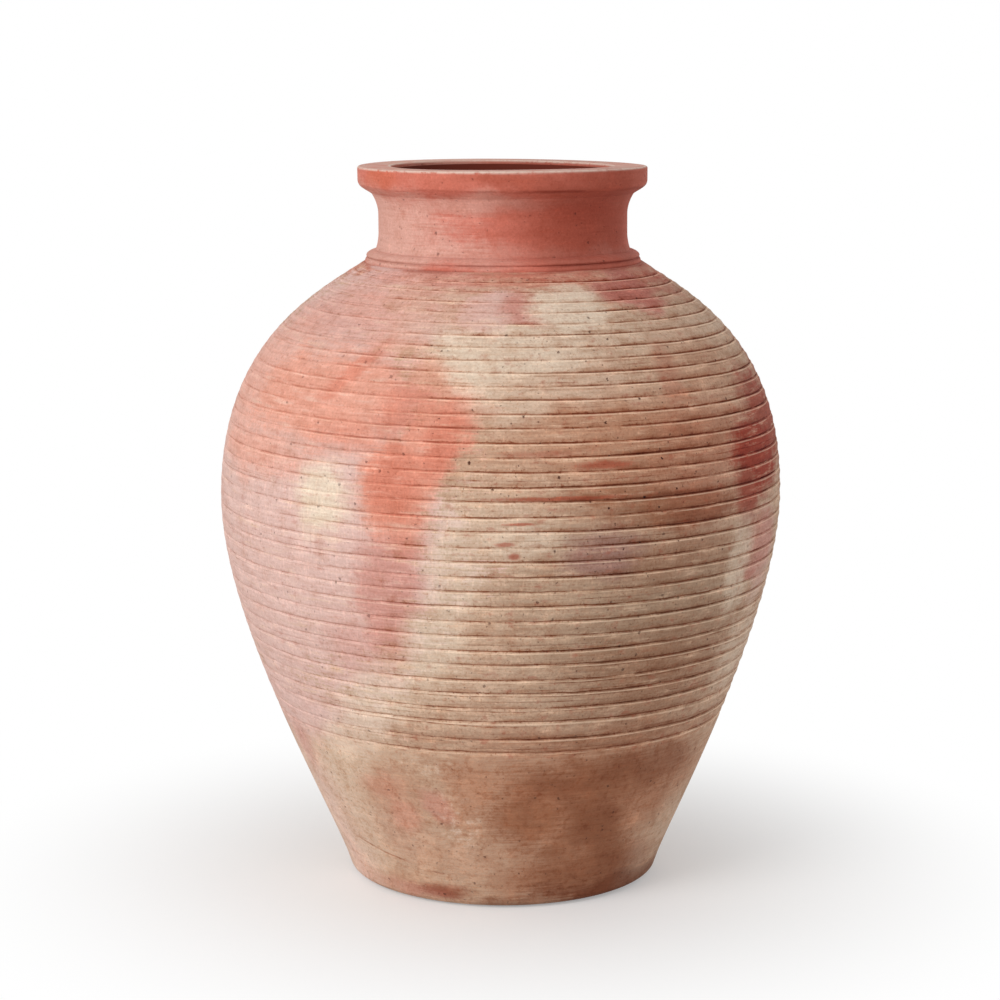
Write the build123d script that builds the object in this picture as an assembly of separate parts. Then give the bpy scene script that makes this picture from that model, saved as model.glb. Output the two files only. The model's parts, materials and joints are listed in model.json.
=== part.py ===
from build123d import *

import math
import os

# Greek pithos: a tall terracotta storage jar, built up from clay sections that are luted together.
# Millimetres, +Z up. The origin is the centre of the flat underside, on the ground.

# Heights above the ground, and heights of the pieces above the shoulder
slab_thickness = 15.0
belly_height = 325.7
shoulder_height = 520.0
collar_height = 57.5
rim_height = 22.5

# Radii of the foot, the belly and the mouth
foot_radius = 134.0
belly_radius = 235.7
mouth_radius = 92.0

# Wall of the body, and the lip under the neck
wall = 14.0
lip_depth = 17.0

# Neck and rim, each as a width beyond the piece that carries it
neck_wall = 11.5
collar_foot_flare = 2.5
collar_top_flare = 5.4
rim_width = 28.3
band_width = 9.0
shoulder_ledge = 1.4

# Fullness of the outline: how far each end of a curve keeps its own direction
foot_lean = 19.2
foot_pull = 40.0
lower_belly_pull = 103.5
upper_belly_pull = 126.8
shoulder_slope = 57.6
shoulder_pull = 51.8

# Grooves scored round the wall on the wheel, measured along the outline from the floor slab
first_groove = 146.0
groove_pitch = 12.0
groove_width = 2.6
groove_depth = 1.4
plain_strip = 10.0
ribbed_drums = ("lower_belly_drum", "middle_belly_drum", "upper_belly_drum", "shoulder_drum")

# Luted seats: a bead on the upper section sits in a hollow pressed into the lower one
bead_width = 6.0
bead_depth = 2.4

# Clay coil worked into the angle between floor and wall
coil_reach = 16.0
coil_height = 20.0
coil_sag = 3.0

# Heights on the neck moulding, the neck's waist and the rim
band_step = 1.2
band_height = 10.4
waist_low = 25.0
waist_high = 40.0
rim_undercut = 7.8

# Rounded edges
foot_round = 6.0
lip_round = 5.0
rim_under_round = 4.0
rim_top_round = 3.0

# Points that steer the inside curve of each wall section, and the slack when two radii are compared
lining_points = 7
same_radius = 0.001

# Levels and radii that follow from the sizes above
collar_top = shoulder_height + collar_height
rim_top = collar_top + rim_height
waist_radius = mouth_radius + neck_wall
collar_foot_radius = waist_radius + collar_foot_flare
collar_top_radius = waist_radius + collar_top_flare
rim_radius = mouth_radius + rim_width
band_radius = collar_foot_radius + band_width
shoulder_radius = band_radius + shoulder_ledge


def at(radius, height):
    """Point of the half section at this radius and height."""
    return Vector(radius, 0, height)


def slanted(angle, length):
    """Step of this length in the half section, leaning outwards from the vertical by this angle."""
    return at(math.sin(math.radians(angle)), math.cos(math.radians(angle))) * length


def turned(edges):
    """Solid of revolution round the jar's axis from a closed loop of half-section edges."""
    return revolve(make_face(edges), axis=Axis.Z)


def hoops(solid, radius):
    """Circular edges of this radius on a turned solid, lowest first."""
    circles = solid.edges().filter_by(GeomType.CIRCLE)
    return circles.filter_by(lambda edge: abs(edge.radius - radius) < same_radius).sort_by(Axis.Z)


def skin_outline():
    """Outside of the wall, from the floor slab to the neck: two curves that meet upright at the belly."""
    foot = at(foot_radius, slab_thickness)
    belly = at(belly_radius, belly_height)
    shoulder = at(shoulder_radius, shoulder_height)
    lower = Bezier(
        foot,
        foot + slanted(foot_lean, foot_pull),
        belly - at(0, lower_belly_pull),
        belly,
    )
    upper = Bezier(
        belly,
        belly + at(0, upper_belly_pull),
        shoulder - slanted(-shoulder_slope, shoulder_pull),
        shoulder,
    )
    return Wire([lower, upper])


skin = skin_outline()
groove_count = int((skin.length - plain_strip - first_groove) / groove_pitch) + 1
bands_per_drum = round(groove_count / len(ribbed_drums))
grooves = [first_groove + number * groove_pitch for number in range(groove_count)]
seams = [grooves[number * bands_per_drum] for number in range(len(ribbed_drums))]


def skin_point(station):
    """Point on the outside of the wall at this distance along the outline."""
    return skin.position_at(station / skin.length)


def skin_climb(station):
    """Upward direction of the wall at this distance along the outline."""
    return skin.tangent_at(station / skin.length)


def skin_inward(station):
    """Direction square to the wall, from the outside towards the lining."""
    climb = skin_climb(station)
    return at(-climb.Z, climb.X)


def lining_point(station):
    """Point on the inside of the wall, one wall thickness in."""
    return skin_point(station) + skin_inward(station) * wall


def groove_bottom(station):
    """Deepest point of the scored groove at this station."""
    return skin_point(station) + skin_inward(station) * groove_depth


def scored_skin(start, end):
    """Outside edges of a wall section between two seams, with a V groove at each scored station."""
    edges = []
    half = groove_width / 2
    level = start
    if start in grooves:
        edges.append(Line(groove_bottom(start), skin_point(start + half)))
        level = start + half
    for station in [groove for groove in grooves if start < groove <= end]:
        edges += skin.trim(level / skin.length, (station - half) / skin.length).edges()
        edges.append(Line(skin_point(station - half), groove_bottom(station)))
        if station < end:
            edges.append(Line(groove_bottom(station), skin_point(station + half)))
        level = station + half
    if end not in grooves:
        edges += skin.trim(level / skin.length, end / skin.length).edges()
    return edges


def luted_seat(outer, inner):
    """Seat edges from the outer to the inner corner, with the bead pressed down in the middle."""
    across = (inner - outer).normalized()
    down = at(-across.Z, across.X)
    middle = (outer + inner) / 2
    bead_start = middle - across * bead_width / 2
    bead_end = middle + across * bead_width / 2
    bead = ThreePointArc(bead_start, middle + down * bead_depth, bead_end)
    return [Line(outer, bead_start), bead, Line(bead_end, inner)]


def lining(start_point, start_climb, stations, end_point, end_climb):
    """Inside curve of a wall section, through one wall thickness in from each station."""
    points = [start_point] + [lining_point(station) for station in stations] + [end_point]
    return Spline(*points, tangents=(start_climb, end_climb))


def stations_between(start, end):
    """Evenly spaced stations strictly between two ends of a section."""
    step = (end - start) / (lining_points + 1)
    return [start + step * number for number in range(1, lining_points + 1)]


# Corners that two or more pieces share
foot_inner = at(foot_radius - wall / math.cos(math.radians(foot_lean)), slab_thickness)
foot_outer = at(foot_radius, slab_thickness)
neck_inner = at(mouth_radius, shoulder_height)
neck_outer = at(collar_foot_radius, shoulder_height)
rim_inner = at(mouth_radius, collar_top)
rim_outer = at(collar_top_radius, collar_top)

# Edges that two pieces share
foot_seat = luted_seat(foot_outer, foot_inner)
neck_seat = luted_seat(neck_outer, neck_inner)
rim_seat = luted_seat(rim_outer, rim_inner)
seam_seats = [luted_seat(groove_bottom(seam), lining_point(seam)) for seam in seams]
foot_lining = lining(
    foot_inner,
    skin_climb(0),
    stations_between(0, seams[0]),
    lining_point(seams[0]),
    skin_climb(seams[0]),
)


def floor_slab():
    """Round floor of the jar, with the wall's slope carried down its edge and the whole underside flat."""
    base_radius = foot_radius - slab_thickness * math.tan(math.radians(foot_lean))
    side = [
        Line(at(0, 0), at(base_radius, 0)),
        Line(at(base_radius, 0), foot_outer),
    ]
    top = [
        Line(foot_inner, at(0, slab_thickness)),
        Line(at(0, slab_thickness), at(0, 0)),
    ]
    slab = turned(side + foot_seat + top)
    return fillet(hoops(slab, base_radius)[0], foot_round)


def base_seam_coil():
    """Soft coil of clay pressed into the inner angle between the floor slab and the foot drum."""
    against_wall = foot_lining.trim(0, coil_height / foot_lining.length)
    top = against_wall @ 1
    toe = foot_inner - at(coil_reach, 0)
    slope = (toe - top).normalized()
    hollow = (top + toe) / 2 + at(-slope.Z, slope.X) * coil_sag
    return turned([Line(toe, foot_inner), against_wall, ThreePointArc(top, hollow, toe)])


def foot_drum():
    """Smooth lower wall, from the floor slab to the first groove."""
    return turned(foot_seat + [foot_lining] + seam_seats[0] + scored_skin(0, seams[0]))


def belly_drum(number):
    """Ribbed wall section between two seams."""
    start, end = seams[number], seams[number + 1]
    inside = lining(
        lining_point(start),
        skin_climb(start),
        stations_between(start, end),
        lining_point(end),
        skin_climb(end),
    )
    return turned(seam_seats[number] + [inside] + seam_seats[number + 1] + scored_skin(start, end))


def shoulder_drum():
    """Closing wall section, thickened inwards to a lip that carries the neck."""
    start = seams[-1]
    lip = at(mouth_radius, shoulder_height - lip_depth)
    stations = stations_between(start, skin.length)[: lining_points // 2]
    inside = lining(lining_point(start), skin_climb(start), stations, lip, at(-1, 0))
    shoulder_outer = at(shoulder_radius, shoulder_height)
    top = [Line(lip, neck_inner)] + neck_seat + [Line(neck_outer, shoulder_outer)]
    drum = turned(seam_seats[-1] + [inside] + top + scored_skin(start, skin.length))
    return fillet(hoops(drum, mouth_radius)[0], lip_round)


def neck_collar():
    """Short waisted neck, flaring into coves above the moulding and under the rim."""
    foot_top = neck_outer + at(0, band_height)
    waist_start = at(waist_radius, shoulder_height + waist_low)
    waist_end = at(waist_radius, shoulder_height + waist_high)
    outside = [
        Line(neck_outer, foot_top),
        TangentArc(waist_start, foot_top, tangent=at(0, -1)),
        Line(waist_start, waist_end),
        TangentArc(waist_end, rim_outer, tangent=at(0, 1)),
    ]
    return turned(neck_seat + [Line(neck_inner, rim_inner)] + rim_seat + outside)


def neck_band():
    """Rounded moulding of clay laid round the root of the neck, on the shoulder."""
    toe = at(band_radius, shoulder_height)
    shoulder = toe + at(0, band_step)
    top = neck_outer + at(0, band_height)
    return turned(
        [
            Line(neck_outer, toe),
            Line(toe, shoulder),
            TangentArc(shoulder, top, tangent=at(0, 1)),
            Line(top, neck_outer),
        ]
    )


def rim_ring():
    """Heavy flat-topped rim, undercut towards the neck."""
    side_low = at(rim_radius, collar_top + rim_undercut)
    side_high = at(rim_radius, rim_top)
    mouth_high = at(mouth_radius, rim_top)
    outside = [
        Line(rim_outer, side_low),
        Line(side_low, side_high),
        Line(side_high, mouth_high),
        Line(mouth_high, rim_inner),
    ]
    ring = turned(rim_seat + outside)
    ring = fillet(hoops(ring, rim_radius)[0], rim_under_round)
    return fillet([hoops(ring, rim_radius)[-1], hoops(ring, mouth_radius)[-1]], rim_top_round)


drums = {name: lambda number=number: belly_drum(number) for number, name in enumerate(ribbed_drums[:-1])}
pieces = {
    "floor_slab": floor_slab,
    "base_seam_coil": base_seam_coil,
    "foot_drum": foot_drum,
    **drums,
    ribbed_drums[-1]: shoulder_drum,
    "neck_band": neck_band,
    "neck_collar": neck_collar,
    "rim_ring": rim_ring,
}

os.makedirs("parts", exist_ok=True)
for name, make in pieces.items():
    solid = make()
    export_step(solid, f"parts/{name}.step")
    print(f"{name}: {solid.volume / 1000:.0f} cm3, {len(solid.faces())} faces")
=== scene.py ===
# %% [markdown]
# # A greek pithos in Blender
# A pithos is a storage jar of fired clay, too tall to throw in one go. The potter stacks clay sections,
# lutes each to the next, and scores one long line round the wall while the wheel turns.
# This lesson makes the jar in the same order: measure the frame, throw each section, score the wall,
# fire it with a procedural finish, and light it on a plain floor.

# %% Load the frame
import json
import math
from collections import namedtuple

import bpy
import numpy as np
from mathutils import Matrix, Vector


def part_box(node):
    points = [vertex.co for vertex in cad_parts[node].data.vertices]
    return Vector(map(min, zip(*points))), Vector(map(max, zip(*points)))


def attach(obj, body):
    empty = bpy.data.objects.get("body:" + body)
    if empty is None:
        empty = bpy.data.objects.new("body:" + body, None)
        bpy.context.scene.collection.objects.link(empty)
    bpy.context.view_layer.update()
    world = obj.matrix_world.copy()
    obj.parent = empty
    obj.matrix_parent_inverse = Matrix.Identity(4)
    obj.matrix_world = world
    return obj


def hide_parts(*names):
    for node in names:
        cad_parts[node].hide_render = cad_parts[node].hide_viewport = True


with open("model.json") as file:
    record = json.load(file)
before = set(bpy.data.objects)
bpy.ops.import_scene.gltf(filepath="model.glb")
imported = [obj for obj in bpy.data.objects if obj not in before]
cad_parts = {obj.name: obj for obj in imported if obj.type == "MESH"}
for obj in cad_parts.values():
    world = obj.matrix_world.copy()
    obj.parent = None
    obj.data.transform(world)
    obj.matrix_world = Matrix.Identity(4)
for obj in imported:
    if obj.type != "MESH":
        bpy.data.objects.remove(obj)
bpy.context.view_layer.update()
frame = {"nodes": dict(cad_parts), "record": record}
bpy.ops.object.select_all(action="DESELECT")
print("nodes in the frame:", sorted(frame["nodes"]))

# %% [markdown]
# ## Measures
# Every section is round, so a node's box gives its largest radius and its levels. The outline's fullness
# can't be read from a box, so those few values are written here, in millimetres and degrees.

# %% Measures of the jar
MM = 0.001
bead_depth = 2.4


def top_of(node):
    """Level of a node's highest point, in millimetres."""
    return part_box(node)[1].z / MM


def radius_of(node):
    """Largest radius of a node, in millimetres."""
    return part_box(node)[1].x / MM


mounts = {mount["name"]: mount for mount in frame["record"]["mounts"]}
mouth_radius = mounts["mouth"]["dims"]["r_mm"]
foot_radius = radius_of("floor_slab")
belly_radius = radius_of("middle_belly_drum")
band_radius = radius_of("neck_band")
rim_radius = radius_of("rim_ring")
slab_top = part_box("foot_drum")[0].z / MM + bead_depth
neck_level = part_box("neck_band")[0].z / MM
band_top = top_of("neck_band")
collar_top = top_of("neck_collar")
rim_top = top_of("rim_ring")

wall = 14.0
belly_level = 325.7
shoulder_ledge = 1.4
shoulder_radius = band_radius + shoulder_ledge
foot_lean = 19.2
foot_pull = 40.0
lower_belly_pull = 103.5
upper_belly_pull = 126.8
shoulder_slope = 57.6
shoulder_pull = 51.8
print(f"belly {belly_radius:.1f}, rim {rim_radius:.1f}, mouth {mouth_radius:.1f}, height {rim_top:.1f} mm")
print(f"slab {slab_top:.1f}, neck {neck_level:.1f}, band {band_top:.1f}, collar {collar_top:.1f} mm")

# %% [markdown]
# ## The outline
# A potter judges a jar by its line. Here the line is two Bezier curves that meet upright at the belly.
# It is sampled finely once, and everything else asks it for a point by its station: the distance along
# the wall from the floor slab, because the scored line is spaced along the wall and not up it.


# %% Outline of the wall
def bezier(first, second, third, fourth, count=2000):
    """Points of a cubic Bezier curve in the half section."""
    t = np.linspace(0, 1, count)[:, None]
    a, b, c, d = (np.array(point, float) for point in (first, second, third, fourth))
    return (1 - t) ** 3 * a + 3 * (1 - t) ** 2 * t * b + 3 * (1 - t) * t**2 * c + t**3 * d


def leaning(angle, length):
    """Step in the half section that leans outwards from the vertical by an angle in degrees."""
    return np.array([math.sin(math.radians(angle)), math.cos(math.radians(angle))]) * length


foot_corner = np.array([foot_radius, slab_top])
belly_point = np.array([belly_radius, belly_level])
shoulder_corner = np.array([shoulder_radius, neck_level])
lower_curve = bezier(
    foot_corner,
    foot_corner + leaning(foot_lean, foot_pull),
    belly_point - np.array([0, lower_belly_pull]),
    belly_point,
)
upper_curve = bezier(
    belly_point,
    belly_point + np.array([0, upper_belly_pull]),
    shoulder_corner - leaning(-shoulder_slope, shoulder_pull),
    shoulder_corner,
)
outline = np.vstack([lower_curve, upper_curve[1:]])
outline_steps = np.hypot(*np.diff(outline, axis=0).T)
outline_station = np.concatenate([[0], np.cumsum(outline_steps)])
outline_climb = np.gradient(outline, outline_station, axis=0)
wall_length = outline_station[-1]


def along_outline(station, values):
    """Rows of two values that change along the wall, at these stations."""
    return np.stack([np.interp(station, outline_station, values[:, axis]) for axis in (0, 1)], axis=-1)


def skin(station):
    """Points on the outside of the wall, as rows of radius and level."""
    return along_outline(station, outline)


def inward(station):
    """Unit steps square to the wall, from the outside to the lining."""
    climb = along_outline(station, outline_climb)
    climb /= np.linalg.norm(climb, axis=-1, keepdims=True)
    return np.stack([-climb[..., 1], climb[..., 0]], axis=-1)


def lining(station):
    """Points on the inside of the wall."""
    return skin(station) + inward(station) * wall


print(f"wall length from floor to neck: {wall_length:.1f} mm")

# %% [markdown]
# ## The scored line
# On the real jar one groove runs from just above the foot to the neck, because the tool climbed slowly
# while the wheel turned. It is a spiral, not a stack of rings, so every point of the wall needs to know
# how far it is from the nearest pass. A hand is never even: the pass wanders, bites and lifts, and it
# left a wider gap above the two lowest passes. The jar also stood a little off the wheel's centre, so
# the tool pressed harder on its right side.
# The line is kept as a formula, and the same formula later darkens the clay in the groove.

# %% Formula of the scored line
first_pass = 150.0
pitch = 12.1
pitch_drift = 4.8
drift_lead = 0.55
low_gap = 3.4
passes = 35
groove_half_width = 1.2
groove_depth = 1.0
stroke_depth = 0.4
stroke_offsets = ((3.1, 16), (-2.8, 18), (5.4, 20))
burr_height = 0.22
score_start = -0.27
score_end = 34.45
score_fade = 0.05
crown_height = 0.44
off_centre = 0.4
lift_from = 24.0
lift = 0.2
sway = 0.6
shiver = 0.12
bite_share = 0.85
bite_swing = 0.42
bite_chatter = 0.28
least_bite = 0.15
most_bite = 1.5


def wander(x, seed):
    """Smooth wavering between about -1 and 1, always the same for the same seed."""
    draw = np.random.default_rng(seed)
    total = np.zeros_like(x)
    for octave in range(4):
        pace = 2.0**octave * draw.uniform(0.8, 1.2)
        total += np.sin(2 * np.pi * (pace * x + draw.uniform())) * 0.62**octave
    return total / 2.0


def smooth_step(low, high, x):
    """Soft ramp from 0 at low to 1 at high."""
    t = np.clip((x - low) / (high - low), 0, 1)
    return t * t * (3 - 2 * t)


def pass_level(station):
    """Count of passes below a station at the front of the jar."""
    low = 1 - smooth_step(first_pass + pitch, first_pass + 2 * pitch, station)
    even = (station + low_gap * low - first_pass) / pitch
    return even - pitch_drift / pitch * np.sin(2 * np.pi * even / passes - drift_lead)


def stroke(away, travelled, offset, seed):
    """Thin line that a corner of the tool left beside the groove in places, from 0 to 1."""
    near = np.abs(away - offset - 0.5 * wander(travelled * 4.3, seed))
    return (1 - smooth_step(0, 0.9, near)) * smooth_step(0.3, 0.7, wander(travelled * 1.13, seed + 1))


def score(station, angle):
    """Depth below the smooth wall in millimetres, and the marks that the tool left there, from 0 to 1."""
    phase = pass_level(station) + angle / (2 * np.pi)
    turn = np.round(phase)
    travelled = turn - angle / (2 * np.pi)
    away = (phase - turn) * pitch - sway * wander(travelled * 1.7, 11) - shiver * wander(travelled * 19, 12)
    cut = smooth_step(score_start, score_start + score_fade, travelled)
    cut *= 1 - smooth_step(score_end - score_fade, score_end, travelled)
    bite = bite_share + bite_swing * wander(travelled * 2.3, 13) + bite_chatter * wander(travelled * 23, 14)
    press = 1 + off_centre * np.sin(angle) - lift * smooth_step(lift_from, passes, travelled)
    bite = np.clip(bite, least_bite, most_bite) * cut * press
    half_width = groove_half_width * (0.9 + 0.2 * wander(travelled * 5.1, 15))
    groove = 1 - smooth_step(0, 1, np.abs(away) / half_width)
    strokes = sum(stroke(away, travelled, offset, seed) for offset, seed in stroke_offsets)
    strokes = np.clip(strokes, 0, 1) * cut
    crown = crown_height * (1 - (2 * (phase - turn)) ** 2) * cut * press
    burr = smooth_step(-2.7, -1.7, away) * (1 - smooth_step(-1.4, -0.8, away)) * bite
    depth = groove * bite * groove_depth + strokes * stroke_depth + crown - burr_height * burr
    core = 1 - smooth_step(0, 1, np.abs(away - 0.25) / (0.85 * half_width))
    verge = smooth_step(-1.5, 0, away) * (1 - smooth_step(0.5, 4.5, away)) * bite
    marks = {"groove": core * bite + 0.45 * strokes, "burr": burr, "verge": verge, "scored": cut}
    return depth, {name: np.clip(mark, 0, 1) for name, mark in marks.items()}


print(f"{passes} passes of the tool, {pitch} mm apart on average")

# %% [markdown]
# ## A scratch on the foot
# The smooth foot was knocked once while it was soft. The mark is a shallow line that falls to the right,
# with a short dash after it, so it is cut into the clay in the same way as the scored line.

# %% Formula of the scratch
Scratch = namedtuple("Scratch", "start start_level end end_level")
scratches = (Scratch(-58, 50, -31, 35.5), Scratch(-25, 31, -19, 30))
scratch_half_width = 1.5
scratch_depth = 0.4
scratch_dirt = 0.6


def scratched(level, angle):
    """How deep a point lies in one of the scratches, from 0 to 1."""
    mark = np.zeros_like(level)
    for cut in scratches:
        reach = (np.degrees(angle) - cut.start) / (cut.end - cut.start)
        line = cut.start_level + reach * (cut.end_level - cut.start_level) + 0.4 * wander(reach, 31)
        ends = smooth_step(0, 0.12, reach) * (1 - smooth_step(0.88, 1, reach))
        beside = np.abs(level - line) / scratch_half_width
        mark = np.maximum(mark, ends * (1 - smooth_step(0.2, 1, beside)))
    return mark


print(f"{len(scratches)} scratches, {scratch_depth} mm deep")

# %% [markdown]
# ## The potter's hand
# A thrown jar is nearly round, not exactly. Its axis leans a millimetre or so as the soft clay sags,
# and each ring is slightly oval. Every section uses this one formula, so that neighbours still meet.

# %% Lean and ovality
lean_reach = 1.2
lean_from = 20.0
lean_length = 500.0
oval = 0.0012
lobes = 0.0007
ripple = 0.0005
rim_dip = 0.5


def hand(x, y, z):
    """Moves points in millimetres by the sag and ovality of soft clay; the foot stays flat on the floor."""
    angle = np.arctan2(x, -y)
    lean = lean_reach * np.cos(2 * np.pi * (z - lean_from) / lean_length)
    swell = oval * np.sin(2 * angle + z / 160) + lobes * np.sin(3 * angle - z / 90 + 1)
    swell += ripple * np.sin(5 * angle + z / 60 + 2)
    high = smooth_step(neck_level, rim_top, z)
    dip = rim_dip * np.sin(2 * angle + 0.7) * high - rim_dip * high
    return x * (1 + swell) + lean, y * (1 + swell), z + dip


print(f"largest ovality about {(oval + lobes + ripple) * belly_radius:.2f} mm")

# %% [markdown]
# ## Throwing a section
# Each piece is drawn as a closed loop in the half section and turned round the axis, as clay turns under a
# rib. A circle primitive gives the loop its ring of points, which are then laid on the outline. The loop
# carries two notes on each point, its station and its side. The Spin operator would do the turning, but on
# a loop this fine the Screw modifier is far quicker and copies the notes to every step. After the doubles
# are merged and the normals recalculated, the scored line and the potter's hand shape the points.

# %% Throwing
turns = 320
OUTSIDE, HIDDEN, INSIDE = 1.0, 0.0, -1.0
sharp_angle = math.radians(70)
same_point = 0.02
ridge_height = 0.7
ridge_pitch = 19.0


def run(points, side, station=None):
    """Part of a section loop: radius, level, station along the wall (-1 off the wall) and side."""
    points = np.asarray(points, float).reshape(-1, 2)
    station = np.full(len(points), -1.0) if station is None else np.asarray(station, float)
    return np.column_stack([points, station, np.full(len(points), side)])


def note(mesh, name, values):
    """Stores one number on each point of a mesh."""
    mesh.attributes.new(name, "FLOAT", "POINT").data.foreach_set("value", np.asarray(values, np.float32))


def noted(mesh, name):
    """Reads the number stored on each point of a mesh."""
    values = np.zeros(len(mesh.vertices), np.float32)
    mesh.attributes[name].data.foreach_get("value", values)
    return values.astype(float)


def throw(name, loop):
    """Spins a section loop into a closed ring or disc of clay, scored and shaped by hand."""
    bpy.ops.object.select_all(action="DESELECT")
    bpy.ops.mesh.primitive_circle_add(vertices=len(loop), radius=belly_radius * MM, fill_type="NOTHING")
    piece = bpy.context.object
    piece.name = name
    mesh = piece.data
    mesh.name = name
    flat = np.column_stack([np.zeros(len(loop)), -loop[:, 0], loop[:, 1]]) * MM
    mesh.vertices.foreach_set("co", flat.astype(np.float32).ravel())
    note(mesh, "station", loop[:, 2])
    note(mesh, "side", loop[:, 3])
    bpy.ops.object.modifier_add(type="SCREW")
    wheel = piece.modifiers[-1]
    wheel.axis = "Z"
    wheel.angle = 2 * math.pi
    wheel.steps = turns
    wheel.render_steps = turns
    bpy.ops.object.modifier_apply(modifier=wheel.name)
    bpy.ops.object.mode_set(mode="EDIT")
    bpy.ops.mesh.select_all(action="SELECT")
    bpy.ops.mesh.remove_doubles(threshold=same_point * MM)
    bpy.ops.mesh.delete_loose()
    bpy.ops.mesh.select_all(action="SELECT")
    bpy.ops.mesh.normals_make_consistent(inside=False)
    bpy.ops.object.mode_set(mode="OBJECT")
    finish_by_hand(mesh)
    bpy.ops.object.shade_smooth_by_angle(angle=sharp_angle)
    print(f"{name}: {len(mesh.vertices)} points, {len(mesh.polygons)} faces")
    return piece


def finish_by_hand(mesh):
    """Scores the outside, ridges the lining, applies the potter's hand and notes what the finish needs."""
    place = np.zeros(len(mesh.vertices) * 3, np.float32)
    mesh.vertices.foreach_get("co", place)
    x, y, z = place.reshape(-1, 3).T.astype(float) / MM
    angle = np.arctan2(x, -y)
    radius = np.hypot(x, y)
    station, side = noted(mesh, "station"), noted(mesh, "side")
    on_wall = station >= 0
    on_skin = on_wall & (side > 0.5)
    depth, marks = score(station, angle)
    scratch = scratched(z, angle)
    marks["groove"] = np.maximum(marks["groove"], scratch * scratch_dirt)
    depth = np.where(on_skin, depth + scratch * scratch_depth, 0)
    ridges = ridge_height * np.sin(2 * np.pi * station / ridge_pitch + angle)
    ridges = ridges * (on_wall & (side < -0.5))
    into = inward(np.clip(station, 0, wall_length))
    moved = depth + ridges
    scale = (radius + into[:, 0] * moved) / np.maximum(radius, 1e-6)
    x, y, z = hand(x * scale, y * scale, z + into[:, 1] * moved)
    shaped = np.column_stack([x, y, z]) * MM
    mesh.vertices.foreach_set("co", shaped.astype(np.float32).ravel())
    for name, mark in marks.items():
        note(mesh, name, np.where(on_skin, mark, 0))
    note(mesh, "turns", np.where(on_wall, pass_level(station), 0))
    mesh.update()


print(f"{turns} steps to one turn of the wheel")

# %% [markdown]
# ## Luted seats
# Where two sections meet, the lower one has a pressed hollow and the upper one carries a bead, so that
# slip and pressure make one wall. Both neighbours take the same seat points, so they touch all over.

# %% Seats and wall sections
bead_width = 6.0
first_seam = 146.0
section_span = 108.0
skin_row = 0.5
foot_row = 0.8
lining_row = 4.0
lining_foot = 6.0
seat_row = 2.5
plain_row = 3.0


def seat(outer, inner, count=13):
    """Points between the outer and inner corners of a seat, without the corners, dipping at the bead."""
    outer, inner = np.asarray(outer, float), np.asarray(inner, float)
    width = np.linalg.norm(inner - outer)
    across = (inner - outer) / width
    down = np.array([-across[1], across[0]])
    t = np.linspace(0, 1, count + 2)[1:-1, None]
    from_middle = (t - 0.5) * width / (bead_width / 2)
    return outer + across * width * t + down * bead_depth * np.clip(1 - from_middle**2, 0, 1)


def rows(start, end, spacing):
    """Stations from one end of a section to the other at an even spacing."""
    return np.linspace(start, end, max(2, round(abs(end - start) / spacing) + 1))


def straight(start, end, spacing):
    """Points from one corner up to the next, which is left out."""
    start, end = np.asarray(start, float), np.asarray(end, float)
    t = rows(0, 1, spacing / np.linalg.norm(end - start))[:-1, None]
    return start + (end - start) * t


seams = [first_seam + number * section_span for number in range(4)]
seam_seats = [seat(skin(seam), lining(seam)) for seam in seams]
foot_inner = foot_corner - np.array([wall / math.cos(math.radians(foot_lean)), 0])
foot_seat = seat(foot_corner, foot_inner)
print("seams at levels", [round(float(skin(seam)[1])) for seam in seams])

# %% [markdown]
# ## The wall, from foot to belly
# The foot drum is smooth and stands on the slab. Three belly drums follow between seams one section
# apart. Their loops run up the skin, in along the upper seat, down the lining and out along the lower seat.


# %% Throw the foot and the belly
def wall_loop(start, end, spacing, low_seat, high_seat, inside):
    """Closed loop of a wall section between two seats."""
    outer = rows(start, end, spacing)
    return np.vstack(
        [run(skin(outer), OUTSIDE, outer), run(high_seat, HIDDEN), inside, run(low_seat[::-1], HIDDEN)]
    )


foot_down = rows(seams[0], lining_foot, lining_row)
foot_inside = np.vstack([run(lining(foot_down), INSIDE, foot_down), run(foot_inner, HIDDEN)])
pieces = {
    "foot_drum": throw(
        "thrown_foot_drum",
        wall_loop(0, seams[0], foot_row, foot_seat, seam_seats[0], foot_inside),
    )
}
for number, node in enumerate(("lower_belly_drum", "middle_belly_drum", "upper_belly_drum")):
    low, high = seams[number], seams[number + 1]
    down = rows(high, low, lining_row)
    inside = run(lining(down), INSIDE, down)
    loop = wall_loop(low, high, skin_row, seam_seats[number], seam_seats[number + 1], inside)
    pieces[node] = throw("thrown_" + node, loop)

# %% [markdown]
# ## The shoulder
# The last wall section closes the jar. Its lining leaves the wall and runs in level to a lip that carries
# the neck, so the clay is thickest where the weight of neck and rim comes down.

# %% Throw the shoulder
lip_depth = 17.0
lip_round = 5.0
throat_pull = 20.0
throat_rise = 36.0
band_width = 9.0
throat_station = seams[3] + throat_rise
neck_corner = np.array([band_radius - band_width, neck_level])
neck_inner = np.array([mouth_radius, neck_level])
neck_seat = seat(neck_corner, neck_inner)


def quarter(centre, radius, start, end, count=7):
    """Points of an arc in the half section, between two angles in degrees."""
    turn = np.radians(np.linspace(start, end, count))
    return np.asarray(centre, float) + radius * np.column_stack([np.cos(turn), np.sin(turn)])


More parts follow.
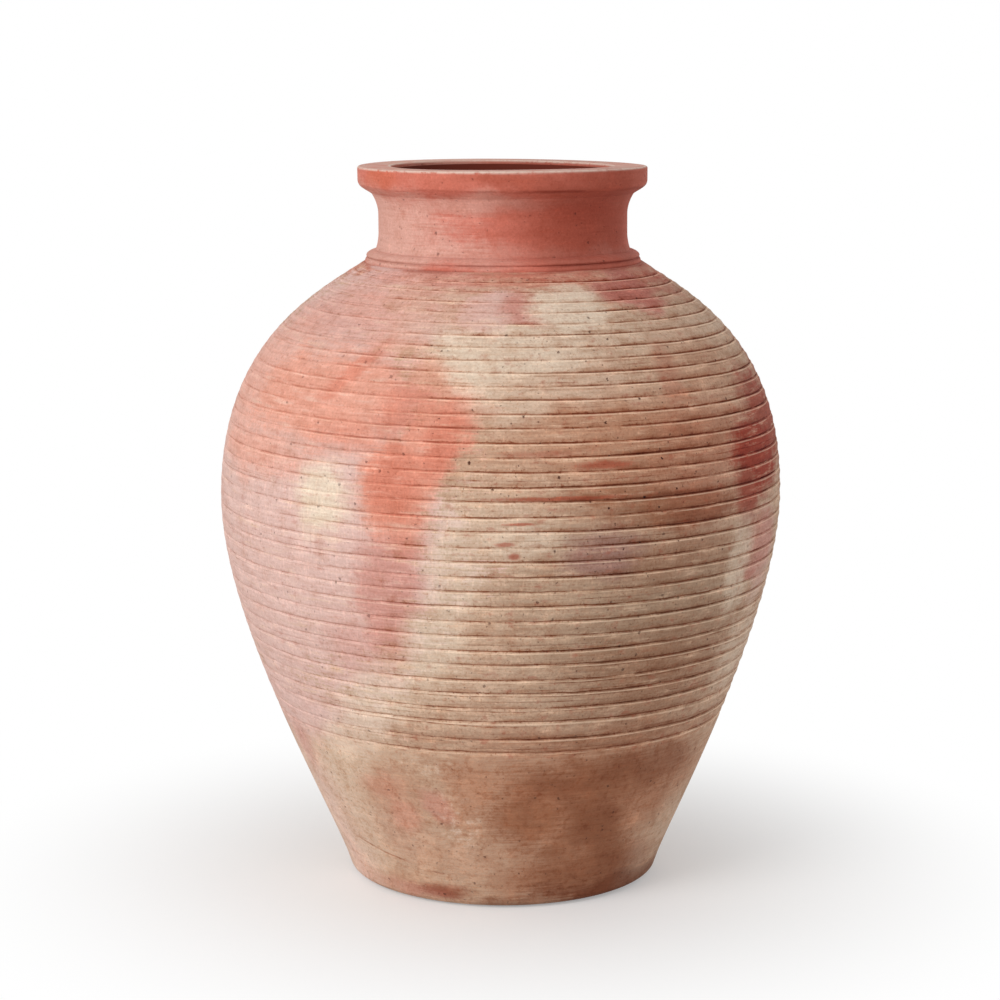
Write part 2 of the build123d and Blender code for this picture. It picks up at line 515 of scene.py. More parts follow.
lip_centre = neck_inner + np.array([lip_round, lip_round - lip_depth])
lip_end = lip_centre - np.array([0, lip_round])
throat_start = lining(throat_station)
throat_climb = along_outline(throat_station, outline_climb)
throat = bezier(
    lip_end,
    lip_end + np.array([throat_pull, 0]),
    throat_start + throat_climb * throat_pull * 0.6,
    throat_start,
    count=14,
)
shoulder_up = rows(seams[3], wall_length, skin_row)
shoulder_down = rows(throat_station, seams[3], lining_row)
shoulder_loop = np.vstack(
    [
        run(skin(shoulder_up), OUTSIDE, shoulder_up),
        run(straight(shoulder_corner, neck_corner, seat_row)[1:], HIDDEN),
        run(neck_corner, HIDDEN),
        run(neck_seat, HIDDEN),
        run(straight(neck_inner, neck_inner - np.array([0, lip_depth - lip_round]), plain_row), INSIDE),
        run(quarter(lip_centre, lip_round, 180, 270), INSIDE),
        run(throat[1:-1], INSIDE),
        run(lining(shoulder_down), INSIDE, shoulder_down),
        run(seam_seats[3][::-1], HIDDEN),
    ]
)
pieces["shoulder_drum"] = throw("thrown_shoulder_drum", shoulder_loop)

# %% [markdown]
# ## The floor of the jar
# The floor starts as a slab patted out on the wheel head. Its edge carries the wall's slope down to the
# ground and is rounded where the jar was lifted off. A coil of clay is thumbed into the inner corner.

# %% Throw the floor slab and its seam coil
foot_round = 7.0
coil_reach = 16.0
coil_height = 20.0
coil_sag = 3.0
coil_row = 2.0
floor_row = 7.0

base_radius = foot_radius - slab_top * math.tan(math.radians(foot_lean))
base_corner = np.array([base_radius, 0])
round_start = base_corner - np.array([foot_round * 1.8, 0])
round_end = base_corner + leaning(foot_lean, foot_round)
round_in = base_corner - np.array([foot_round * 0.7, 0])
round_up = base_corner + leaning(foot_lean, foot_round * 0.4)
ground_edge = bezier(round_start, round_in, round_up, round_end, count=15)
slab_loop = np.vstack(
    [
        run(straight((0, 0), round_start, floor_row), HIDDEN),
        run(ground_edge, OUTSIDE),
        run(straight(round_end, foot_corner, foot_row)[1:], OUTSIDE),
        run(foot_corner, OUTSIDE),
        run(foot_seat, HIDDEN),
        run(straight(foot_inner, (0, slab_top), floor_row), INSIDE),
        run((0, slab_top), INSIDE),
    ]
)
pieces["floor_slab"] = throw("thrown_floor_slab", slab_loop)

coil_up = rows(lining_foot, coil_height, coil_row)
coil_top_point = lining(coil_height)
coil_toe = foot_inner - np.array([coil_reach, 0])
coil_middle = (coil_top_point + coil_toe) / 2 + np.array([coil_sag, -coil_sag])
coil_face = bezier(coil_top_point, coil_middle, coil_middle, coil_toe, count=16)
coil_loop = np.vstack(
    [
        run(straight(coil_toe, foot_inner, plain_row), HIDDEN),
        run(foot_inner, HIDDEN),
        run(lining(coil_up), INSIDE, coil_up),
        run(coil_face[1:-1], INSIDE),
    ]
)
pieces["base_seam_coil"] = throw("thumbed_base_seam_coil", coil_loop)

# %% [markdown]
# ## The neck
# The neck is a short waisted collar, wiped smooth with wet fingers. It flares in a cove above the
# moulding and in another under the rim.

# %% Throw the neck
collar_foot_flare = 2.5
collar_top_flare = 5.4
waist_radius = neck_corner[0] - collar_foot_flare
waist_low = neck_level + 25.0
waist_high = neck_level + 40.0
neck_row = 0.8
rim_outer = np.array([waist_radius + collar_top_flare, collar_top])
rim_inner = np.array([mouth_radius, collar_top])
rim_seat = seat(rim_outer, rim_inner)
band_corner = np.array([neck_corner[0], band_top])


def waist(level):
    """Radius of the neck's outside, flaring in coves above the moulding and under the rim."""
    below = np.clip((waist_low - level) / (waist_low - band_top), 0, 1)
    above = np.clip((level - waist_high) / (collar_top - waist_high), 0, 1)
    low_cove = (neck_corner[0] - waist_radius) * below**2
    high_cove = (rim_outer[0] - waist_radius) * above**2
    return waist_radius + low_cove + high_cove


collar_up = rows(band_top, collar_top, neck_row)
collar_loop = np.vstack(
    [
        run(straight(neck_corner, band_corner, plain_row), HIDDEN),
        run(np.column_stack([waist(collar_up), collar_up]), OUTSIDE),
        run(rim_seat, HIDDEN),
        run(straight(rim_inner, neck_inner, plain_row), INSIDE),
        run(neck_inner, INSIDE),
        run(neck_seat[::-1], HIDDEN),
    ]
)
pieces["neck_collar"] = throw("thrown_neck_collar", collar_loop)

# %% [markdown]
# ## The moulding
# A roll of clay hides the joint at the neck's root. A small notch parts it from its foot.

# %% Roll the moulding
band_toe = np.array([band_radius, neck_level])
band_notch = band_toe + np.array([-1.9, 4.4])
band_foot = bezier(band_toe, band_toe + (0, 2.2), band_notch + (1.2, -0.6), band_notch, count=10)
band_roll = bezier(band_notch, band_notch + (2.2, 1.7), band_corner + (6.2, -1.1), band_corner, count=22)
band_loop = np.vstack(
    [
        run(straight(neck_corner, band_toe, seat_row), HIDDEN),
        run(band_foot, OUTSIDE),
        run(band_roll[1:], OUTSIDE),
        run(straight(band_corner, neck_corner, seat_row)[1:], HIDDEN),
    ]
)
pieces["neck_band"] = throw("rolled_neck_band", band_loop)

# %% [markdown]
# ## The rim
# A heavy flat rim finishes the mouth. It is undercut, which gives the hands a hold.

# %% Throw the rim
rim_side = rim_radius - 0.1
rim_edge = 1.7
rim_side_low = (rim_side, collar_top + 11.5)
rim_under = bezier(
    rim_outer,
    rim_outer + np.array([6.0, 4.2]),
    (rim_side, collar_top + 5.4),
    rim_side_low,
    count=22,
)
rim_loop = np.vstack(
    [
        run(rim_under, OUTSIDE),
        run(straight(rim_side_low, (rim_radius, rim_top - rim_edge), 1.0)[1:], OUTSIDE),
        run(quarter((rim_radius - rim_edge, rim_top - rim_edge), rim_edge, 0, 90), OUTSIDE),
        run(straight((rim_radius - rim_edge, rim_top), (mouth_radius + rim_edge, rim_top), 1.2)[1:], OUTSIDE),
        run(quarter((mouth_radius + rim_edge, rim_top - rim_edge), rim_edge, 90, 180), OUTSIDE),
        run(straight((mouth_radius, rim_top - rim_edge), rim_inner, 2.0)[1:], INSIDE),
        run(rim_inner, INSIDE),
        run(rim_seat[::-1], HIDDEN),
    ]
)
pieces["rim_ring"] = throw("thrown_rim_ring", rim_loop)

# %% [markdown]
# ## Shader maths
# A finish is a stack of masks, and masks are arithmetic. This small class wraps a node's output, so that
# adding or multiplying two of them adds a Math node, and a formula can be read as a formula.


# %% A class for shader formulas
class Field:
    """One output of a shader node; arithmetic on it adds Math nodes to the same material."""

    def __init__(self, tree, socket):
        self.tree = tree
        self.socket = socket

    def node(self, kind, settings, inputs, output=0):
        """Adds a node: its settings first, then a value or a link on each input."""
        made = self.tree.nodes.new(kind)
        for name, value in settings.items():
            setattr(made, name, value)
        for key, value in inputs.items():
            if isinstance(value, Field):
                self.tree.links.new(value.socket, made.inputs[key])
            else:
                made.inputs[key].default_value = value
        return Field(self.tree, made.outputs[output])

    def maths(self, operation, *values):
        """Adds a Math node."""
        return self.node("ShaderNodeMath", {"operation": operation}, dict(enumerate(values)))

    def __add__(self, other):
        return self.maths("ADD", self, other)

    __radd__ = __add__

    def __sub__(self, other):
        return self.maths("SUBTRACT", self, other)

    def __rsub__(self, other):
        return self.maths("SUBTRACT", other, self)

    def __mul__(self, other):
        return self.maths("MULTIPLY", self, other)

    __rmul__ = __mul__


def ramp(value, low, high, start=0.0, end=1.0):
    """Soft ramp of a field from one value to another."""
    inputs = {"Value": value, "From Min": low, "From Max": high, "To Min": start, "To Max": end}
    return value.node("ShaderNodeMapRange", {"interpolation_type": "SMOOTHSTEP", "clamp": True}, inputs)


def layer(mask, under, over):
    """Colour of one coat laid over another where a mask is 1."""
    return mask.node("ShaderNodeMix", {"data_type": "RGBA"}, {0: mask, 6: under, 7: over}, output=2)


def noise(vector, scale, detail=3.0, roughness=0.55, output=0):
    """Cloudy pattern with about this many clouds to the metre."""
    inputs = {"Vector": vector, "Scale": scale, "Detail": detail, "Roughness": roughness}
    return vector.node("ShaderNodeTexNoise", {"noise_dimensions": "3D"}, inputs, output)


def tone(red, green, blue):
    """Colour from the eye's 0 to 255 scale, as the linear colour that a shader needs."""
    eye = np.array([red, green, blue]) / 255
    linear = np.where(eye <= 0.04045, eye / 12.92, ((eye + 0.055) / 1.055) ** 2.4)
    return (*map(float, linear), 1.0)


print("shader formulas ready")

# %% [markdown]
# ## Tones of the clay
# Terracotta takes its colour from iron. Where air reached the jar in the kiln it fired red, where smoke
# lay it stayed buff, and lime in the clay left a pale bloom. The tones are named for what made them, so
# that the coats further down can be read as a potter would tell them.

# %% Palette
buff = tone(192, 163, 140)
# The rose tone is a little cool, so that it also paints the pale sheen at the wall's left edge.
rose = tone(211, 178, 170)
dusk_rose = tone(190, 130, 117)
flush = tone(214, 151, 130)
deep_flush = tone(200, 122, 100)
oxblood = tone(146, 50, 32)
smudge = tone(160, 80, 57)
bloom = tone(218, 200, 180)
smoke = tone(158, 131, 108)
lilac = tone(150, 113, 104)
umber = tone(142, 90, 61)
earth = tone(122, 71, 46)
ochre = tone(178, 129, 101)
salmon = tone(197, 113, 96)
pale_salmon = tone(207, 159, 145)
dark_salmon = tone(155, 69, 50)
ember = tone(188, 92, 62)
raw_clay = tone(108, 42, 28)
# Pale dust, also used for the painted highlight on the rim's top edges.
dust_and_highlight = tone(226, 209, 194)
# Pale colour of the burr: worn lime and a painted highlight.
chalk_and_highlight = tone(234, 210, 184)

soot_tint = (0.12, 0.03, 0.01, 1.0)
# Tint of the painted shade and earth on the band above each groove.
verge_shade_and_dirt_tint = (0.76, 0.58, 0.48, 1.0)
wash_tint = (0.8, 0.67, 0.59, 1.0)
# Pale tint: paler streaks of the clay, and also the painted highlights on the ridges and burrs.
pale_tint = (1.28, 1.27, 1.26, 1.0)
groove_tint = (0.56, 0.3, 0.2, 1.0)
soil_tint = (0.62, 0.45, 0.34, 1.0)
# Tint of the painted shade and grime in the creases.
crease_shade_and_grime_tint = (0.52, 0.3, 0.24, 1.0)
print("tones set out")

# %% [markdown]
# ## Stains from the kiln
# The blotches are placed as soft ellipses. Each has its azimuth from the front in degrees, its
# level in millimetres, half its width and half its height, how strong it is, how soft its edge is, and by
# how many degrees its top leans to the right, since flames drew many of them out aslant.
# A wall painted only with noise would never show this jar's own blotches, so noise only frays the edges.

# %% Stains
Stain = namedtuple("Stain", "azimuth level wide tall strength soft lean", defaults=(1.0, 0.4, 0.0))


def placed(*rows):
    """Stains from rows of their numbers."""
    return [Stain(*row) for row in rows]


ochre_stains = placed(
    (26, 402, 28, 44, 0.8, 0.6),
    (8, 388, 12, 24, 0.4, 0.7),
    (-28, 106, 7, 24, 0.3, 0.7, 40),
    (27, 96, 34, 58, 0.9, 0.6),
    (30, 30, 34, 26, 0.8, 0.5),
    (-36, 18, 24, 10, 0.3, 0.6),
    (-8, 114, 8, 28, 0.7, 0.5),
    (-10, 46, 16, 18, 0.5, 0.6),
    (52, 446, 14, 34, 0.5, 0.6),
    (66, 100, 14, 18, 0.5, 0.6),
    (150, 90, 30, 40, 0.7, 0.6),
    (-130, 70, 24, 34, 0.6, 0.6),
    (165, 250, 26, 60, 0.5, 0.6),
)
smoke_stains = placed(
    (32, 245, 24, 76, 0.85, 0.7),
    (14, 285, 14, 44, 0.5, 0.7),
    (-175, 300, 30, 60, 0.7, 0.7),
    (120, 260, 20, 50, 0.6, 0.7),
)
umber_stains = placed(
    (36, 346, 18, 19, 0.85, 0.6),
    (20, 356, 11, 8, 0.8, 0.6),
    (40, 386, 15, 26, 0.45, 0.7),
    (34, 308, 16, 24, 0.4, 0.7),
    (26, 158, 42, 12, 0.5, 0.7),
    (20, 58, 8, 20, 0.65, 0.5),
    (8, 84, 10, 24, 0.75, 0.5),
    (36, 205, 18, 44, 0.45, 0.8),
    (26, 116, 26, 26, 0.75, 0.8),
    (30, 66, 7, 84, 0.8, 0.6, -52),
    (34, 30, 24, 18, 0.7, 0.6),
    (120, 330, 24, 40, 0.6, 0.6),
    (-160, 180, 30, 50, 0.6, 0.6),
)
earth_stains = placed(
    (16, 116, 9, 12, 0.5, 0.7),
    (40, 126, 16, 14, 0.5, 0.8),
    (28, 74, 6, 46, 0.35, 0.7, -50),
    (38, 30, 14, 16, 0.4, 0.8),
    (46, 9, 34, 13, 0.95, 0.5),
    (10, 4, 20, 8, 0.6, 0.6),
    (-22, 13, 9, 6, 0.9, 0.9),
    (42, 338, 11, 6, 0.65, 0.7),
    (38, 355, 10, 4, 0.4, 0.7),
    (115, 90, 20, 30, 0.7, 0.6),
    (-165, 40, 26, 24, 0.7, 0.6),
)
# The rose haze covers the wall's left edge, where it also stands for a painted sheen.
rose_stains = placed(
    (-58, 348, 46, 176, 0.92, 0.12),
    (-46, 502, 42, 18, 0.45, 0.5),
    (-24, 482, 14, 16, 0.65, 0.4),
    (-64, 168, 30, 36, 0.95, 0.4),
    (-2, 495, 10, 13, 0.85, 0.35),
    (68, 290, 7, 36, 0.5, 0.6),
    (-66, 128, 6, 24, 0.8, 0.5),
    (-68, 56, 15, 70, 0.85, 0.8),
    (105, 230, 22, 60, 0.8, 0.5),
    (-150, 420, 26, 60, 0.8, 0.5),
)
dusk_stains = placed(
    (-23, 280, 6, 62, 0.75, 0.4, 6),
    (-30, 236, 7, 24, 0.4, 0.7),
    (-32, 514, 24, 7, 0.5, 0.6),
    (8, 494, 8, 12, 0.85, 0.4),
    (-52, 484, 22, 18, 0.4, 0.6),
    (46, 503, 15, 15, 0.95, 0.3),
    (66, 300, 8, 24, 0.7, 0.6),
    (63, 285, 5, 5, 0.8, 0.5),
    (-64, 128, 5, 20, 0.5, 0.6),
    (-40, 9, 18, 9, 0.5, 0.6),
    (-33, 80, 10, 36, 0.2, 0.8),
    (-18, 97, 5, 12, 0.55, 0.5, 25),
    (-140, 480, 24, 20, 0.6, 0.5),
)
flush_stains = placed(
    (-44, 426, 27, 38, 0.9, 0.45),
    (-68, 430, 22, 48, 0.6, 0.7),
    (-14, 438, 4.5, 34, 0.65, 0.4, -60),
    (-30, 436, 10, 14, 0.9, 0.6),
    (-14, 392, 6, 52, 1.0, 0.3, 30),
    (-21, 362, 7, 38, 0.95, 0.35),
    (-60, 380, 18, 18, 0.7, 0.6),
    (-34, 493, 28, 18, 0.35, 0.8),
    (-27, 470, 9, 12, 0.5, 0.6),
    (-35, 107, 7, 13, 0.3, 0.5),
    (-29, 81, 5, 13, 0.38, 0.4),
    (140, 420, 24, 60, 0.9, 0.4),
    (172, 370, 16, 40, 0.7, 0.5),
    (-120, 350, 18, 60, 0.7, 0.5),
)
deep_stains = placed(
    (-11, 400, 4, 28, 0.9, 0.5, 28),
    (-21, 366, 6, 26, 0.9, 0.5),
    (-36, 446, 9, 9, 0.7, 0.6, -40),
    (-20, 418, 7, 18, 0.65, 0.6, -30),
    (-5, 421, 4, 5, 0.45, 0.6),
    (-31, 398, 9, 12, 0.4, 0.7),
    (-19, 322, 5, 14, 0.5, 0.6),
    (48, 378, 16, 46, 0.22, 0.8),
    (146, 440, 14, 30, 0.7, 0.5, 20),
)
lilac_stains = placed(
    (20, 313, 7, 17, 0.8, 0.5),
    (160, 200, 10, 26, 0.6, 0.5),
)
bloom_stains = placed(
    (-37, 350, 6.5, 27, 1.0, 0.4),
    (19, 495, 11, 16, 0.9, 0.3),
    (4, 463, 18, 19, 0.7, 0.5),
    (-9, 460, 4.5, 36, 0.8, 0.4, -58),
    (48, 473, 34, 9, 0.25, 0.6),
    (2, 426, 8, 14, 0.5, 0.6),
    (16, 440, 16, 12, 0.35, 0.7),
    (-10, 290, 4.5, 60, 0.5, 0.5, 6),
    (-14, 235, 6, 34, 0.6, 0.5, 20),
    (-38, 152, 6, 118, 0.58, 0.5, 50),
    (-54, 66, 13, 60, 0.5, 0.8),
    (-2, 338, 6, 16, 0.2, 0.6),
    (3, 325, 8, 10, 0.5, 0.6),
    (56, 290, 4, 40, 0.7, 0.5),
    (68, 208, 10, 36, 0.5, 0.5),
    (66, 52, 16, 34, 0.34, 0.8, -20),
    (-12, 42, 14, 16, 0.15, 0.7),
    (-74, 62, 12, 60, 0.5, 0.7),
    (175, 470, 22, 30, 0.8, 0.5),
    (-140, 260, 9, 90, 0.8, 0.5, 30),
    (125, 170, 12, 60, 0.6, 0.5, -35),
)
oxblood_stains = placed(
    (64, 373, 11, 33, 0.95, 0.35),
    (74, 402, 12, 36, 0.85, 0.4, 24),
    (57, 345, 4.5, 26, 0.8, 0.5),
    (45, 503, 12, 9, 0.45, 0.5),
    (60, 507, 22, 14, 0.4, 0.5),
    (94, 400, 20, 52, 0.75, 0.5, -10),
    (104, 350, 9, 50, 0.5, 0.6, -30),
)
smudge_stains = placed(
    (20, 381, 5.5, 2.8, 0.85, 0.5),
    (8, 391, 7, 2.6, 0.45, 0.6),
    (11, 357, 13, 1.6, 0.8, 0.5),
    (3.5, 338, 3, 1.1, 0.8, 0.5),
    (0.5, 323, 1.6, 1.6, 0.7, 0.5),
    (2.2, 314, 1.1, 2.4, 0.75, 0.5),
    (40, 445, 3, 22, 0.35, 0.6, 12),
    (-8, 410, 4, 2.4, 0.5, 0.6),
    (-21, 15, 7, 5, 0.3, 0.9),
)
kiln_coats = {
    "ochre": (ochre, ochre_stains),
    "smoke": (smoke, smoke_stains),
    "umber": (umber, umber_stains),
    "earth": (earth, earth_stains),
    "rose": (rose, rose_stains),
    "dusk": (dusk_rose, dusk_stains),
    "flush": (flush, flush_stains),
    "deep flush": (deep_flush, deep_stains),
    "lilac": (lilac, lilac_stains),
    "bloom": (bloom, bloom_stains),
    "oxblood": (oxblood, oxblood_stains),
}
pale_stains = placed(
    (-74, 550, 50, 34, 0.95, 0.45),
    (-150, 560, 30, 50, 0.6, 0.6),
)
dry_and_lit_stains = placed(
    (-48, 531, 52, 11, 0.8, 0.6),
    (46, 531, 40, 6, 0.35, 0.6),
    # The two stains in the cove under the rim are painted light, which pales the rim's shade.
    (-16, 573, 34, 8, 0.7, 0.6),
    (40, 574, 30, 7, 0.3, 0.6),
)
dark_stains = placed(
    (44, 562, 36, 50, 0.85, 0.6),
    (32, 592, 44, 9, 0.65, 0.5),
    (150, 560, 30, 50, 0.5, 0.6),
)
neck_coats = {
    "pale": (pale_salmon, pale_stains),
    "dry": (pale_salmon, dry_and_lit_stains),
    "dark": (dark_salmon, dark_stains),
    "scorch": (oxblood, placed((40, 568, 20, 13, 0.3, 0.8), (8, 570, 10, 6, 0.12, 0.8))),
    "ember": (ember, placed((-56, 592, 12, 9, 0.6, 0.5), (-25, 593, 30, 6, 0.15, 0.6))),
}
print(f"{sum(len(stains) for _, stains in kiln_coats.values())} stains on the wall")

# %% [markdown]
# ## Fields that the coats share
# The finish reads Object coordinates, which stay with the clay, and the notes left by the scoring. An
# azimuth has to break somewhere, so there are two of them, one that breaks behind the jar and one that
# breaks in front, and a stain takes the one that runs unbroken past it.

# %% Places on the jar
notes = ("groove", "burr", "verge", "scored", "turns", "side")
Jar = namedtuple("Jar", ("place", "front", "behind", "level", "phase", "path") + notes)
in_degrees = 180 / math.pi
full_turn = 360


def apart(vector):
    """The three numbers of a vector."""
    return [vector.node("ShaderNodeSeparateXYZ", {}, {0: vector}, axis) for axis in range(3)]


def channels(colour):
    """The three numbers of a colour, which give a noise texture three patterns in one."""
    return [colour.node("ShaderNodeSeparateColor", {}, {0: colour}, index) for index in range(3)]


def joined(x, y, z):
    """Vector of three numbers."""
    return x.node("ShaderNodeCombineXYZ", {}, {0: x, 1: y, 2: z})


def jar_fields(tree):
    """Where a point lies on the jar, how far it is along the spiral, and what the scoring left there."""
    place = Field(tree, tree.nodes.new("ShaderNodeTexCoord").outputs["Object"])
    x, y, z = apart(place)
    front = place.maths("ARCTAN2", x, 0 - y) * in_degrees
    behind = place.maths("ARCTAN2", 0 - x, y) * in_degrees
    read = {name: place.node("ShaderNodeAttribute", {"attribute_name": name}, {}, "Fac") for name in notes}
    turned = front * (1 / full_turn)
    phase = read["turns"] + turned
    path = place.maths("FLOOR", phase) - turned
    return Jar(place, front, behind, z * (1 / MM), phase, path, **read)


print("notes that the finish reads:", ", ".join(notes))

# %% [markdown]
# ## The grain of the clay
# Clay shows its making at every scale: the wiping cloth leaves long streaks, the wheel leaves hairlines,
# each ridge is smeared by itself, and the body is mottled, flecked and full of grog. A real potter gets
# these for free. Here each is one noise texture, stretched the way the hand or the wheel moved.

# %% Textures of the clay
Texture = namedtuple("Texture", "streak lines smear mottle fleck grain chatter")


def stretched(vector, x, y, z):
    """Vector with each of its numbers multiplied."""
    return vector.node("ShaderNodeVectorMath", {"operation": "MULTIPLY"}, {0: vector, 1: (x, y, z)})


def clay_textures(jar):
    """One noise field for each scale of the clay's making."""
    ridge_place = joined(jar.path * 60, jar.phase * 2.4, 0.0)
    return Texture(
        streak=noise(stretched(jar.place, 1, 1, 14), 14, 6.0, 0.68),
        lines=noise(stretched(jar.place, 1, 1, 18), 36, 4.0, 0.62),
        smear=noise(ridge_place, 1.0, 5.0, 0.62),
        mottle=noise(jar.place, 55, 5.0, 0.65),
        fleck=noise(jar.place, 170, 6.0, 0.72),
        grain=noise(jar.place, 520, 3.0, 0.65),
        chatter=noise(stretched(jar.place, 1, 1, 0.12), 520, 2.0, 0.5),
    )


print("textures:", ", ".join(Texture._fields))

# %% [markdown]
# ## Frayed stains
# Noise bends the place where a stain is looked up, so its edge wanders. Each ridge between two passes of
# the tool also shifts the stains by its own amount, since it caught the fire and the wiping cloth by itself.


# %% Masks of the stains
girth = belly_radius * math.pi / 180
front_reach = 95
wander_along, wander_up = 28, 30
ridge_along, ridge_up = 19, 14
Wall = namedtuple("Wall", "front behind eaten")


def frayed(jar, clay, fray):
    """The wall unrolled in millimetres, from the front and from behind, and how far its stains are eaten."""
    bend = channels(noise(jar.place, 20, 4.0, 0.62, output=1))
    ridge = {"W": jar.path * 15, "Scale": 1.0, "Detail": 2.0, "Roughness": 0.5}
    shift = channels(jar.path.node("ShaderNodeTexNoise", {"noise_dimensions": "1D"}, ridge, 1))
    along = ((bend[0] - 0.5) * wander_along + (shift[0] - 0.5) * jar.scored * ridge_along) * fray
    up = jar.level + ((bend[1] - 0.5) * wander_up + (shift[1] - 0.5) * jar.scored * ridge_up) * fray
    eaten = (bend[2] - 0.5) * 0.7 + (clay.mottle - 0.5) * 0.6
    eaten = eaten + (clay.lines - 0.5) * 0.7 + (clay.fleck - 0.5) * 0.5
    eaten = eaten + (clay.grain - 0.5) * 1.6 * (1 - fray)
    front, behind = jar.front * girth + along, jar.behind * girth + along
    views = [(joined(side, up, 0.0), joined(up, side, 0.0)) for side in (front, behind)]
    return Wall(*views, eaten)


def affine(vector, factors, offset):
    """Vector with each of its numbers multiplied, moved by an offset."""
    inputs = {0: vector, 1: factors, 2: offset}
    return vector.node("ShaderNodeVectorMath", {"operation": "MULTIPLY_ADD"}, inputs)


def stained(unrolled, stains):
    """Mask of a group of stains on the unrolled wall."""
    mask = unrolled.eaten * 0.0
    for stain in stains:
        far = abs(stain.azimuth) > front_reach
        azimuth = stain.azimuth - math.copysign(full_turn / 2, stain.azimuth) if far else stain.azimuth
        seen, crossed = unrolled.behind if far else unrolled.front
        upright, leaning_by = math.cos(math.radians(stain.lean)), math.sin(math.radians(stain.lean))
        along, wide = azimuth * girth, stain.wide * girth
        shift_along = (stain.level * leaning_by - along * upright) / wide
        shift_up = (-along * leaning_by - stain.level * upright) / stain.tall
        lean = (-leaning_by / wide, leaning_by / stain.tall, 0.0)
        size = (upright / wide, upright / stain.tall, 0.0)
        offset = affine(crossed, lean, (shift_along, shift_up, 0.0))
        offset = affine(seen, size, offset)
        distance = seen.node("ShaderNodeVectorMath", {"operation": "LENGTH"}, {0: offset}, output=1)
        spot = ramp(distance + unrolled.eaten, 1 + stain.soft, 1 - stain.soft, 0.0, stain.strength)
        mask = mask.maths("MAXIMUM", mask, spot)
    return mask


def shaded(mask, colour, tint):
    """Colour multiplied by a tint where a mask is 1."""
    inputs = {0: mask, 6: colour, 7: tint}
    return mask.node("ShaderNodeMix", {"data_type": "RGBA", "blend_type": "MULTIPLY"}, inputs, output=2)


print(f"one degree of the belly is {girth:.2f} mm wide")

# %% [markdown]
# ## Marks of making and age, and painted light
# Over the stains come streaks and smears, scuffs on the smooth foot, dirt in the scored line with earth and
# painted shade above it, a painted highlight higher on each ridge, a pale burr below the line that is partly
# worn and partly a painted highlight, and pits where lime blew out. The functions take a colour and give it
# back changed, except the one for the pits, which gives a mask, because pits also lower the surface.

# %% Wiping, scuffs, dirt, painted shade and highlights
scuff_level = 145.0
faint_levels = (400, 490)
faintest = 0.75
fleck_stains = placed(
    (-12, 80, 6, 28, 1.0, 0.6, -20),
    (-22, 132, 10, 12, 0.6, 0.6),
)
pit_stains = placed((20, 402, 40, 84, 1.0, 0.6), (-30, 330, 24, 80, 0.4, 0.6))


def wiped(colour, jar, clay, bare):
    """Darker and paler streaks at every scale; smears only on the scored wall, up to the next groove."""
    strength = 0.6 + bare * 0.4
    along = strength * (0.7 + jar.scored * 0.1)
    for field, dark, pale, share in (
        (clay.smear, 0.6, 0.6, strength * jar.scored),
        (clay.streak, 0.65, 0.5, along),
        (clay.lines, 0.5, 0.5, along),
        (clay.mottle, 0.6, 0.45, strength),
        (clay.grain, 0.65, 0.65, strength),
    ):
        colour = shaded(ramp(field, 0.5, 0.7, 0, dark) * share, colour, wash_tint)
        colour = shaded(ramp(field, 0.47, 0.3, 0, pale) * share, colour, pale_tint)
    return shaded(ramp(clay.chatter, 0.5, 0.75, 0, 0.4) * jar.scored, colour, pale_tint)


def rusted(colour, jar, bare):
    """Small red smears of iron along the ridges."""
    rust = noise(joined(jar.path * 130, jar.phase * 1.6, 7.0), 1.0, 4.0, 0.6)
    return layer(ramp(rust, 0.55, 0.72, 0, 0.45) * jar.scored * (0.5 + bare * 0.5), colour, smudge)


def scuffed(colour, jar, clay, flecked):
    """Worn and rubbed patches on the smooth foot, with pale specks of lime in places."""
    foot = ramp(jar.level, scuff_level + 12, scuff_level - 12)
    cloud = noise(jar.place, 24, 7.0, 0.68)
    colour = shaded(ramp(cloud, 0.5, 0.6, 0, 0.4) * foot, colour, wash_tint)
    colour = shaded(ramp(cloud, 0.48, 0.38, 0, 0.45) * foot, colour, pale_tint)
    colour = layer(ramp(clay.fleck, 0.5, 0.62, 0, 0.35) * flecked * foot, colour, dust_and_highlight)
    for field, strength in ((clay.grain, 0.6), (clay.lines, 0.35)):
        colour = shaded(ramp(field, 0.51, 0.62, 0, strength) * foot, colour, pale_tint)
        colour = shaded(ramp(field, 0.49, 0.38, 0, strength) * foot, colour, wash_tint)
    return shaded(ramp(clay.fleck, 0.48, 0.38, 0, 0.7) * foot, colour, wash_tint)


